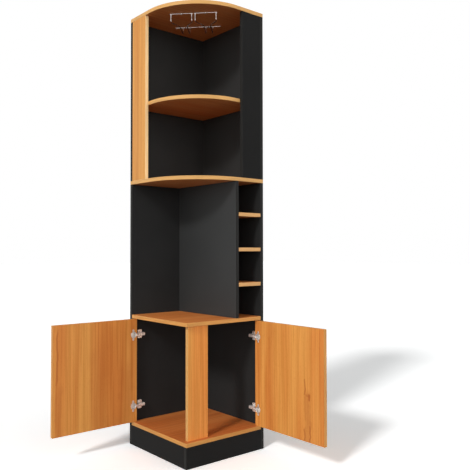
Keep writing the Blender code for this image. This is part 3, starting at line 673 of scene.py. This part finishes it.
def oval(radius, reach, low, high, matrix, steps=OVAL_STEPS):
    """A flat bar with round ends along Y, between two heights along Z, then moved by the matrix."""
    bm = bmesh.new()
    turn = Matrix.Rotation(math.pi / steps, 4, "Z")
    ring = bmesh.ops.create_circle(bm, cap_ends=True, radius=radius, segments=steps, matrix=turn)["verts"]
    for vert in ring:
        vert.co.y += math.copysign(reach, vert.co.y)
        vert.co.z = low
    top = bmesh.ops.extrude_face_region(bm, geom=bm.faces[:], use_keep_orig=True)
    bmesh.ops.translate(bm, vec=(0, 0, high - low), verts=vertices(top))
    return moved(faced_out(bm), matrix)


def bent_sheet(path, bends, half_width, thickness, bend_radius):
    """Sheet metal along a path in X and Y, as wide as two half widths along Z. The path is the sheet's
    outer side, the bends are the path's rounded corners, and the sheet lies to the path's right."""
    bm = bmesh.new()
    line = [bm.verts.new((x, y, -half_width)) for x, y in path]
    edges = [bm.edges.new(pair) for pair in zip(line, line[1:])]
    wide = bmesh.ops.extrude_edge_only(bm, edges=edges)
    bmesh.ops.translate(bm, vec=(0, 0, 2 * half_width), verts=vertices(wide))
    folds = [e for v in (line[i] for i in bends) for e in v.link_edges if e not in edges]
    round_edges(bm, folds, bend_radius, SHEET_BEND_STEPS)
    faced_out(bm)
    first = min(bm.faces, key=lambda f: (f.calc_center_median() - Vector((*path[0], 0))).length)
    run = Vector((path[1][0] - path[0][0], path[1][1] - path[0][1], 0))
    if first.normal.dot(Vector((-run.y, run.x, 0))) < 0:
        bmesh.ops.reverse_faces(bm, faces=bm.faces[:])
    bmesh.ops.solidify(bm, geom=bm.faces[:], thickness=thickness)
    return faced_out(bm)


def cross_recess(reach, matrix=Matrix.Identity(4)):
    """The two bars that cut a cross recess into a screw head whose top is at the matrix's origin."""
    fitting = settings("fitting")
    half, depth = fitting.recess_width / 2, fitting.recess_depth
    bars = [block((-x, -y, -depth), (x, y, depth)) for x, y in ((reach, half), (half, reach))]
    return moved(joined(bars), matrix)


def sweep(path, radius, sides):
    """A round wire: a disc is extruded from point to point, and each ring halves its bend."""
    bm = bmesh.new()
    runs = [(after - before).normalized() for before, after in zip(path, path[1:])]
    ways = [runs[0]] + [(a + b).normalized() for a, b in zip(runs, runs[1:])] + [runs[-1]]
    ring = bmesh.ops.create_circle(
        bm, cap_ends=True, radius=radius, segments=sides, matrix=facing(ways[0], path[0]))["verts"]
    edges = bm.edges[:]
    for i in range(1, len(path)):
        made = bmesh.ops.extrude_edge_only(bm, edges=edges)
        ring = vertices(made)
        edges = [e for e in made["geom"]
                 if isinstance(e, bmesh.types.BMEdge) and all(v in ring for v in e.verts)]
        bmesh.ops.translate(bm, vec=path[i] - path[i - 1], verts=ring)
        turn = ways[i - 1].rotation_difference(ways[i]).to_matrix()
        bmesh.ops.rotate(bm, cent=path[i], matrix=turn, verts=ring)
    bmesh.ops.contextual_create(bm, geom=edges)
    return faced_out(bm)


# Boards

def thickness_axis(node):
    low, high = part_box(node)
    return min((X, Y, Z), key=lambda axis: high[axis] - low[axis])


def rim_faces(bm, axis):
    """The faces round a board's rim. They are the largest group that isn't flat on the board; the other
    groups are the walls of its holes."""
    left = {face for face in bm.faces if abs(face.normal[axis]) < math.cos(FLAT_ANGLE)}
    groups = []
    while left:
        group = set()
        front = [left.pop()]
        while front:
            face = front.pop()
            group.add(face)
            near = {f for edge in face.edges for f in edge.link_faces} & left
            left -= near
            front += near
        groups.append(group)
    return max(groups, key=lambda group: sum(face.calc_area() for face in group))


def dress_board(node, face_material, band_material):
    """A board with its coated faces and its edge band, and soft light on its eased edges."""
    bm = merged_copy(node)
    for face in rim_faces(bm, thickness_axis(node)):
        face.material_index = 1
    bmesh.ops.triangulate(bm, faces=[f for f in bm.faces if len(f.verts) > 4])
    piece = stand_for(node, f"{node}_coated", bm, (face_material, band_material))
    piece.modifiers.new("weighted normals", "WEIGHTED_NORMAL").keep_sharp = True


BOWED_SHELVES = ("deck_panel", "top_panel", "display_shelf")
BOTTLE_SHELVES = ("bottle_shelf_1", "bottle_shelf_2", "bottle_shelf_3")
# The grain's steps from board to board, and the number that the doors start from
OFFSET_STEPS = (3.7, 5.3, 7.9)
FIRST_DOOR = 22
# Each black coating's boards and its specular level. The coatings are lit and shaded copies of one black:
# painted light and painted shade
BLACK_BOARDS = {
    "black": (("left_wall_panel_lower", "right_wall_panel_lower"), 0.05),
    "black_upper_painted_light": (("left_wall_panel_upper", "right_wall_panel_upper"), 0.12),
    "black_satin_painted_light": (("rack_divider",), 0.22),
    "black_painted_shade": (("left_plinth_board", "right_plinth_board", "right_stile"), 0.04),
}


def own_offset(number):
    """An offset of the grain that no other board shares."""
    return tuple(number * step for step in OFFSET_STEPS)


class CABINET_OT_wood_boards(Operator):
    """Gives the fixed wood boards their grain and their pale edge bands"""
    bl_idname = "cabinet.wood_boards"
    bl_label = "Wood boards"

    def execute(self, context):
        finish = settings("finish")
        rough = finish.honey_roughness
        bands = {
            kind: band(f"edge_band_{kind}", run, getattr(finish, f"{kind}_band"), rough)
            for kind, run in (("bowed", (X, Y)), ("square", (X, Y)), ("bottle", (X, Y)), ("stile", (Z,)))}
        # Besides the grain, the counter, post and stile tones are lighter (painted light) and the bowed
        # shelves' tones darker (painted shade)
        shelf = (finish.shelf, finish.shelf_pale, finish.honey_red)
        counter = (finish.counter, finish.counter_pale, finish.honey_red)
        bowed = (finish.bowed_shelf, finish.bowed_pale, finish.shelf)
        post = (finish.post, finish.honey_pale, finish.honey)
        stile = (finish.stile, finish.stile_pale, finish.honey)
        groups = (
            (BOWED_SHELVES, (X,), bowed, bands["bowed"]), (("bottom_shelf",), (X,), shelf, bands["square"]),
            (("counter_shelf",), (X,), counter, bands["square"]),
            (BOTTLE_SHELVES, (Y,), shelf, bands["bottle"]), (("corner_post",), (Z,), post, bands["bowed"]),
            (("left_stile",), (Z,), stile, bands["stile"]))
        number = 0
        for nodes, run, tones, edge in groups:
            for node in nodes:
                number += 1
                dress_board(node, wood(f"honey_{node}", run, own_offset(number), *tones), edge)
        return {"FINISHED"}


class CABINET_OT_black_boards(Operator):
    """Gives the black boards their coating and edge bands"""
    bl_idname = "cabinet.black_boards"
    bl_label = "Black boards"

    def execute(self, context):
        finish = settings("finish")
        edge = band("edge_band_black", (Z,), finish.black_band, finish.black_roughness, BLACK_BAND_SPECULAR)
        number = 0
        for coating, (nodes, specular) in BLACK_BOARDS.items():
            for node in nodes:
                number += 1
                name, colour = f"{coating}_{node}", getattr(finish, coating)
                face = black_coating(name, own_offset(number), colour, specular)
                dress_board(node, face, edge)
        return {"FINISHED"}


class CABINET_OT_doors(Operator):
    """Gives the doors their upright grain, with the red streaks near their free edges"""
    bl_idname = "cabinet.doors"
    bl_label = "Doors"

    def execute(self, context):
        finish = settings("finish")
        edge = band("edge_band_door", (Z,), finish.square_band, finish.honey_roughness)
        tones = (finish.honey, finish.honey_pale, finish.honey_red)
        for number, side in enumerate(SIDES):
            node = f"{side}_door"
            across = X if side == "left" else Y
            offset = own_offset(FIRST_DOOR + number)
            face = wood(f"honey_{node}", (Z,), offset, *tones, across, DOOR_FIGURES[side])
            dress_board(node, face, edge)
        return {"FINISHED"}


# Screws

def thread(radius, top, bottom, turns):
    """The edge of a threaded shank as a row of ridges, from its head down to its blunt tip."""
    pitch = (top - bottom) / turns
    root = radius * THREAD_ROOT
    points = []
    for i in range(turns):
        level = top - pitch * i
        points += [(root, level), (radius, level - pitch * THREAD_CREST), (root, level - pitch * THREAD_FOOT)]
    return points + [(root * THREAD_TIP, bottom), (0, bottom)]


def screw_body(profile, reach):
    """A screw whose head's top is at the origin, facing +Z, with a cross recess cut in it."""
    return cut(turned(profile, SCREW_STEPS), [cross_recess(reach)])


def pan_screw_body(head, shank, height, length, turns):
    profile = [(head * across, -height * down) for across, down in PAN_HEAD] + [(shank, -height)]
    return screw_body(profile + thread(shank, -height - PAN_NECK, -length, turns), head * RECESS_SHARE)


class CABINET_OT_screws(Operator):
    """Makes the case screws and the rack screws again, with threads and cross recesses"""
    bl_idname = "cabinet.screws"
    bl_label = "Screws"

    def execute(self, context):
        zinc = metal("zinc")
        template = screw_body([*CASE_HEAD_PROFILE, *thread(*CASE_THREAD)], CASE_RECESS_REACH)
        for node in CASE_SCREWS:
            low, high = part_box(node)
            axis = max((X, Y, Z), key=lambda a: high[a] - low[a])
            way = Vector((0, 0, 0))
            way[axis] = -1 if node in SCREWS_FROM_BELOW else 1
            top = middle_of(node) + way * (high[axis] - low[axis]) / 2
            stand_for(node, f"{node}_threaded", placed(template, facing(way, top)), (zinc,))
        template.free()
        template = pan_screw_body(*RACK_SCREW)
        for node in RACK_SCREWS:
            top = middle_of(node)
            top.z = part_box(node)[0].z
            body = placed(template, facing((0, 0, -1), top))
            stand_for(node, f"{node}_threaded", body, (zinc,))
        template.free()
        return {"FINISHED"}


# Glass racks

class CABINET_OT_glass_racks(Operator):
    """Makes the wire racks again as smooth bent wire with pressed eyelets"""
    bl_idname = "cabinet.glass_racks"
    bl_label = "Glass racks"

    def execute(self, context):
        for side in SIDES:
            self.rack(f"glass_rack_{side}")
        return {"FINISHED"}

    def rack(self, node):
        """In the rack's own frame X runs back from its front screw to its rear one."""
        fitting = settings("fitting")
        ends = [middle_of(f"{node}_{end}_screw") for end in ("front", "rear")]
        for end in ends:
            end.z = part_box("top_panel")[0].z
        back = (ends[1] - ends[0]).normalized()
        length = (ends[1] - ends[0]).length
        high = -SEAM - WIRE_RADIUS
        lines = [self.side_wire(hand, length, high) for hand in (-1, 1)]
        lines += [[Vector((x, BAR_REACH * share, high)) for share in (-1, 0, 1)] for x in (0.0, length)]
        body = joined([sweep(line, WIRE_RADIUS, fitting.wire_sides) for line in lines])
        for x in (0.0, length):
            disc = turned(rounded_disc(EYELET_RADIUS, WIRE_RADIUS), SCREW_STEPS)
            bmesh.ops.translate(disc, vec=(x, 0, high), verts=disc.verts[:])
            hole = oval(RACK_SHANK_RADIUS + SEAM, 0, -THROUGH, THROUGH, Matrix.Translation((x, 0, high)))
            body = combined(combined(body, disc, "UNION"), hole, "DIFFERENCE")
        matrix = Matrix((back, Vector((0, 0, 1)).cross(back), (0, 0, 1))).transposed().to_4x4()
        matrix.translation = ends[0]
        placed_body = placed(body, matrix)
        body.free()
        stand_for(node, f"{node}_wire", placed_body, (metal("chrome"),))

    def side_wire(self, hand, length, high):
        """Down from the front bar, back along the rail where it runs inwards, and up to the rear bar."""
        fitting = settings("fitting")
        low = high - RACK_DROP
        points = [Vector((0, hand * MOUTH_REACH, high))]
        turns = [math.pi / 2 * i / fitting.bend_steps for i in range(fitting.bend_steps + 1)]
        for turn in turns:
            lift = WIRE_BEND * (1 - math.sin(turn))
            points.append(Vector((WIRE_BEND * (1 - math.cos(turn)), hand * MOUTH_REACH, low + lift)))
        for i in range(1, fitting.flare_steps + 1):
            share = i / fitting.flare_steps
            across = MOUTH_REACH + (RAIL_REACH - MOUTH_REACH) * share * share * (3 - 2 * share)
            points.append(Vector((WIRE_BEND + FLARE_LENGTH * share, hand * across, low)))
        for turn in turns:
            lift = WIRE_BEND * (1 - math.cos(turn))
            points.append(Vector((length - WIRE_BEND * (1 - math.sin(turn)), hand * RAIL_REACH, low + lift)))
        return points + [Vector((length, hand * RAIL_REACH, high))]


def rounded_disc(radius, half):
    """The outline of a disc with a rounded rim, from the axis and back to it."""
    ease = half * EYELET_EASE_SHARE
    cut_back = ease * EYELET_CUT_SHARE
    rim = [(0, half), (radius - ease, half), (radius - cut_back, half - cut_back), (radius, half - ease)]
    return [(across, -up) for across, up in rim] + rim[::-1]


# Knobs

class CABINET_OT_knobs(Operator):
    """Turns the door knobs again, with a foot, a waist and a crowned head"""
    bl_idname = "cabinet.knobs"
    bl_label = "Knobs"

    def execute(self, context):
        for side in SIDES:
            node = f"{side}_door_knob"
            low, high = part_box(node)
            out = -OUT[side]
            axis = Y if side == "left" else X
            start = middle_of(node) - out * (high[axis] - low[axis]) / 2
            body = turned(KNOB_PROFILE, KNOB_STEPS, facing(out, start))
            stand_for(node, f"{node}_turned", body, (metal("chrome"),))
        return {"FINISHED"}


# Hinges

def side_frame(side, place, along):
    """A frame with X along the board that carries the fitting, Y out from its face, and Z up."""
    matrix = Matrix((along, OUT[side], (0, 0, 1))).transposed().to_4x4()
    matrix.translation = place
    return matrix


def peg(place, radius, length, sheet):
    """A driven peg under a sheet, with the cross-headed screw that spreads it, facing +Y."""
    top = SEAM + sheet + PEG_HEAD_HEIGHT
    seat = SEAM + sheet / 2
    profile = [(PEG_HEAD_RADIUS * share, top - depth) for share, depth in PEG_DOME]
    profile += [(PEG_HEAD_RADIUS, seat), (radius, seat)]
    for i in range(PEG_RIBS):
        start, end = (-length * number / PEG_RIBS for number in (i, i + 1))
        profile += [(radius, start - PEG_RIB_EASE), (radius * PEG_ROOT_SHARE, end + PEG_RIB_EASE)]
    profile += [(radius * PEG_TIP_SHARE, -length), (0, -length)]
    return turned(profile, SCREW_STEPS, facing((0, 1, 0), place))


def peg_recess(place, sheet):
    top = Vector(place) + Vector((0, SEAM + sheet + PEG_HEAD_HEIGHT, 0))
    return cross_recess(PEG_HEAD_RADIUS * RECESS_SHARE, facing((0, 1, 0), top))


def cup_body():
    """The cup about its own axis on the door's face. X runs along the door, away from the hinge."""
    cup = turned(CUP_PROFILE, CUP_STEPS, facing((0, 1, 0)))
    shift = Matrix.Translation((CUP_PEG_OFFSET, 0, 0))
    ears = oval(CUP_EAR_RADIUS, CUP_PEG_REACH, SEAM, SEAM + CUP_FLANGE, shift @ Z_TO_Y)
    well = oval(CUP_WELL_RADIUS, 0, -THROUGH, THROUGH, Z_TO_Y, CUP_STEPS)
    cup = combined(cup, combined(ears, well, "DIFFERENCE"), "UNION")
    places = [(CUP_PEG_OFFSET, 0, CUP_PEG_REACH * hand) for hand in (-1, 1)]
    cup = joined([cup] + [peg(place, CUP_PEG_RADIUS, CUP_PEG_LENGTH, CUP_FLANGE) for place in places])
    return cut(cup, [peg_recess(place, CUP_FLANGE) for place in places])


def arm_body():
    """The arm in its wall's frame: X runs inwards from the cabinet's front, Y out from the wall's face."""
    over = ARM_OVER + ARM_SHEET / 2
    neck = ARM_NECK - ARM_SHEET / 2
    path = ((neck, PIVOT_OUT), (neck, over), (ARM_BEND, over), (CHANNEL_START, CHANNEL_TOP))
    path += ((CHANNEL_END - CHANNEL_WALL, CHANNEL_TOP),)
    strip = bent_sheet(path, (1, 2, 3), ARM_HALF_WIDTH, ARM_SHEET, ARM_BEND_RADIUS)
    foot, half = CHANNEL_FOOT, CHANNEL_HALF_WIDTH
    section = ((foot, -half), (CHANNEL_TOP, -half), (CHANNEL_TOP, half), (foot, half))
    half_run = (CHANNEL_END - CHANNEL_START) / 2
    channel = bent_sheet(section, (1, 2), half_run, CHANNEL_WALL, CHANNEL_BEND_RADIUS)
    turn = Matrix(((0, 0, 1, (CHANNEL_START + CHANNEL_END) / 2), (1, 0, 0, 0), (0, 1, 0, 0), (0, 0, 0, 1)))
    pivot = Matrix.Translation((PIVOT_IN, PIVOT_OUT, 0))
    knuckle = oval(KNUCKLE_RADIUS, 0, -ARM_HALF_WIDTH, ARM_HALF_WIDTH, pivot)
    arm = joined([strip, moved(channel, turn), knuckle])
    front, rear = ARM_SCREW_FRAMES
    along = Matrix.Rotation(math.pi / 2, 4, "Z")
    slot = oval(ARM_HOLE_RADIUS, ARM_SLOT_REACH, *ARM_HOLE_HEIGHTS, rear @ along)
    hole = oval(ARM_HOLE_RADIUS, 0, *ARM_HOLE_HEIGHTS, front)
    pin = oval(PIN_RADIUS + SEAM, 0, -THROUGH, THROUGH, pivot)
    return cut(arm, [slot, hole, pin])


def plate_body():
    """The mounting plate in its wall's frame: two wings with pegs, and the rib that the arm clips over."""
    low, high = PLATE_MIDDLE - PLATE_REACH, PLATE_MIDDLE + PLATE_REACH
    wings = block((low, SEAM, -PLATE_HALF_LENGTH), (high, SEAM + PLATE_SHEET, PLATE_HALF_LENGTH))
    corners = [e for e in wings.edges if abs(e.verts[0].co.y - e.verts[1].co.y) > PLATE_SHEET / 2]
    round_edges(wings, corners, PLATE_CORNER, PLATE_CORNER_STEPS)
    half = CHANNEL_HALF_WIDTH - CHANNEL_WALL - 2 * SEAM
    top = CHANNEL_TOP - CHANNEL_WALL - 2 * SEAM
    rib = block((RIB_START, SEAM, -half), (RIB_END, top, half), RIB_EASE)
    places = [(PLATE_MIDDLE, 0, PLATE_PEG_REACH * hand) for hand in (-1, 1)]
    pegs = [peg(place, PLATE_PEG_RADIUS, PLATE_PEG_LENGTH, PLATE_SHEET) for place in places]
    bores = [oval(PLATE_BORE_RADIUS, 0, *PLATE_BORE_HEIGHTS, frame) for frame in ARM_SCREW_FRAMES]
    return cut(joined([wings, rib] + pegs), [peg_recess(place, PLATE_SHEET) for place in places] + bores)


class CABINET_OT_hinges(Operator):
    """Makes the concealed hinges again: pressed cups, bent arms, plates and adjusting screws"""
    bl_idname = "cabinet.hinges"
    bl_label = "Hinges"

    def execute(self, context):
        nickel, steel, zinc = ((metal(kind),) for kind in ("nickel", "steel", "zinc"))
        cup, arm, plate = cup_body(), arm_body(), plate_body()
        pin = oval(PIN_RADIUS, 0, -PIN_REACH, PIN_REACH, Matrix.Identity(4), PIN_STEPS)
        screw = pan_screw_body(*ADJUSTING_SCREW)
        for side, stem in HINGES:
            pivot = middle_of(f"{stem}_pin")
            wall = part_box(f"{side}_wall_panel_lower")[0].copy()
            wall.z = pivot.z
            cup_place = pivot - INWARDS[side] * CUP_REACH + OUT[side] * DOOR_FACE
            door = side_frame(side, cup_place, -INWARDS[side])
            case = side_frame(side, wall, INWARDS[side])
            pieces = (
                ("cup", "pressed", placed(cup, door), steel),
                ("pin", "round", placed(pin, Matrix.Translation(pivot)), nickel),
                ("arm", "bent", placed(arm, case), nickel), ("plate", "stamped", placed(plate, case), nickel))
            for kind, make, body, plating in pieces:
                stand_for(f"{stem}_{kind}", f"{stem}_{kind}_{make}", body, plating)
            for number, x in enumerate(ARM_SCREWS, 1):
                top = facing((0, 1, 0), (x, CHANNEL_TOP + ADJUSTING_HEAD_RISE, 0))
                name = f"{stem}_adjusting_screw_{number}"
                add_piece(name, placed(screw, case @ top), zinc, "cabinet")
        for template in (cup, arm, plate, pin, screw):
            template.free()
        return {"FINISHED"}


# Stage

SENSOR = 36.0
WHITE = (1.0, 1.0, 1.0)
FLOOR_TINT = (0.99, 1.0, 1.0)
FILL_FOCUS = 4.0


def seen_directly(tree):
    """One for rays that show the surroundings themselves, as straight views, mirrors or glass do."""
    path = tree.nodes.new("ShaderNodeLightPath")
    rays = (path.outputs[f"Is {kind} Ray"] for kind in ("Camera", "Glossy", "Transmission"))
    return math_node(tree, "MAXIMUM", *rays)


def floor_shader(tree, paleness):
    colour = [paleness * part for part in FLOOR_TINT]
    return add_node(tree, "ShaderNodeBsdfDiffuse", {"Color": colour}).outputs["BSDF"]


class CABINET_OT_stage(Operator):
    """Sets the camera, the key light, the even light and the pale floor"""
    bl_idname = "cabinet.stage"
    bl_label = "Stage"

    def execute(self, context):
        self.camera(context)
        self.lights(context)
        self.floor(context)
        context.scene.view_settings.view_transform = "Standard"
        return {"FINISHED"}

    def camera(self, context):
        stage = settings("stage")
        camera = new_object("camera", bpy.data.cameras.new("camera"))
        camera.data.lens = stage.lens
        camera.data.sensor_width = SENSOR
        camera.data.shift_x = stage.shift
        camera.location = stage.eye
        level = math.cos(stage.pitch)
        view = Vector((
            -math.sin(stage.heading) * level, math.cos(stage.heading) * level, math.sin(stage.pitch)))
        camera.rotation_euler = view.to_track_quat("-Z", "Y").to_euler()
        context.scene.camera = camera

    def lights(self, context):
        stage = settings("stage")
        key = new_object("key light", bpy.data.lights.new("key light", "SUN"))
        key.data.energy = stage.key_strength
        key.data.angle = stage.key_width
        key.rotation_euler = Vector(stage.key_way).to_track_quat("-Z", "Y").to_euler()
        world = bpy.data.worlds.new("even light")
        world.use_nodes = True
        context.scene.world = world
        tree = world.node_tree
        way = tree.nodes.new("ShaderNodeTexCoord").outputs["Generated"]
        parts = add_node(tree, "ShaderNodeSeparateXYZ", {"Vector": way})
        level = math_node(tree, "SUBTRACT", 1.0, math_node(tree, "ABSOLUTE", parts.outputs["Z"], 0.0))
        side = stage.side_strength - stage.top_strength
        level = math_node(tree, "MULTIPLY", math_node(tree, "POWER", level, stage.side_focus), side)
        fill = add_node(tree, "ShaderNodeVectorMath", {0: way, 1: stage.fill_way}, operation="DOT_PRODUCT")
        lobe = math_node(tree, "POWER", math_node(tree, "MAXIMUM", fill.outputs["Value"], 0.0), FILL_FOCUS)
        lobe = math_node(tree, "MULTIPLY", lobe, stage.fill_strength)
        even = math_node(tree, "ADD", level, lobe, stage.top_strength)
        seen = seen_directly(tree)
        lit = math_node(tree, "MULTIPLY", even, math_node(tree, "SUBTRACT", 1.0, seen))
        feed(tree, tree.nodes["Background"], {"Color": WHITE, "Strength": math_node(tree, "ADD", lit, seen)})

    def floor(self, context):
        stage = settings("stage")
        bm = bmesh.new()
        bmesh.ops.create_grid(bm, x_segments=1, y_segments=1, size=stage.floor_size / 2)
        floor = mesh_object("floor", bm)
        material = bpy.data.materials.new("pale floor")
        material.use_nodes = True
        tree = material.node_tree
        tree.nodes.remove(tree.nodes["Principled BSDF"])
        lit, seen = (floor_shader(tree, paleness) for paleness in (stage.floor_bounce, stage.floor_tone))
        mixed = add_node(tree, "ShaderNodeMixShader", {0: seen_directly(tree), 1: lit, 2: seen})
        tree.links.new(mixed.outputs["Shader"], tree.nodes["Material Output"].inputs["Surface"])
        floor.data.materials.append(material)


OPERATORS = (
    CABINET_OT_stage, CABINET_OT_wood_boards, CABINET_OT_black_boards, CABINET_OT_doors, CABINET_OT_hinges,
    CABINET_OT_glass_racks, CABINET_OT_knobs, CABINET_OT_screws)
GROUPS = {"finish": FinishSettings, "fitting": FittingSettings, "stage": StageSettings}


class CABINET_PT_panel(Panel):
    """Lists the steps that dress the cabinet, and their settings"""
    bl_idname = "CABINET_PT_panel"
    bl_label = "Corner bar cabinet"
    bl_space_type = "VIEW_3D"
    bl_region_type = "UI"
    bl_category = "Cabinet"

    def draw(self, context):
        for operator in OPERATORS:
            self.layout.operator(operator.bl_idname)
        for group, kind in GROUPS.items():
            box = self.layout.box()
            for name in kind.__annotations__:
                box.prop(settings(group), name)


def register():
    for kind in (*GROUPS.values(), *OPERATORS, CABINET_PT_panel):
        bpy.utils.register_class(kind)
    for group, kind in GROUPS.items():
        setattr(bpy.types.Scene, f"cabinet_{group}", PointerProperty(type=kind))


def unregister():
    for group in GROUPS:
        delattr(bpy.types.Scene, f"cabinet_{group}")
    for kind in reversed((*GROUPS.values(), *OPERATORS, CABINET_PT_panel)):
        bpy.utils.unregister_class(kind)


def main():
    register()
    for operator in OPERATORS:
        family, name = operator.bl_idname.split(".")
        getattr(getattr(bpy.ops, family), name)()
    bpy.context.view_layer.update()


if __name__ == "__main__":
    main()
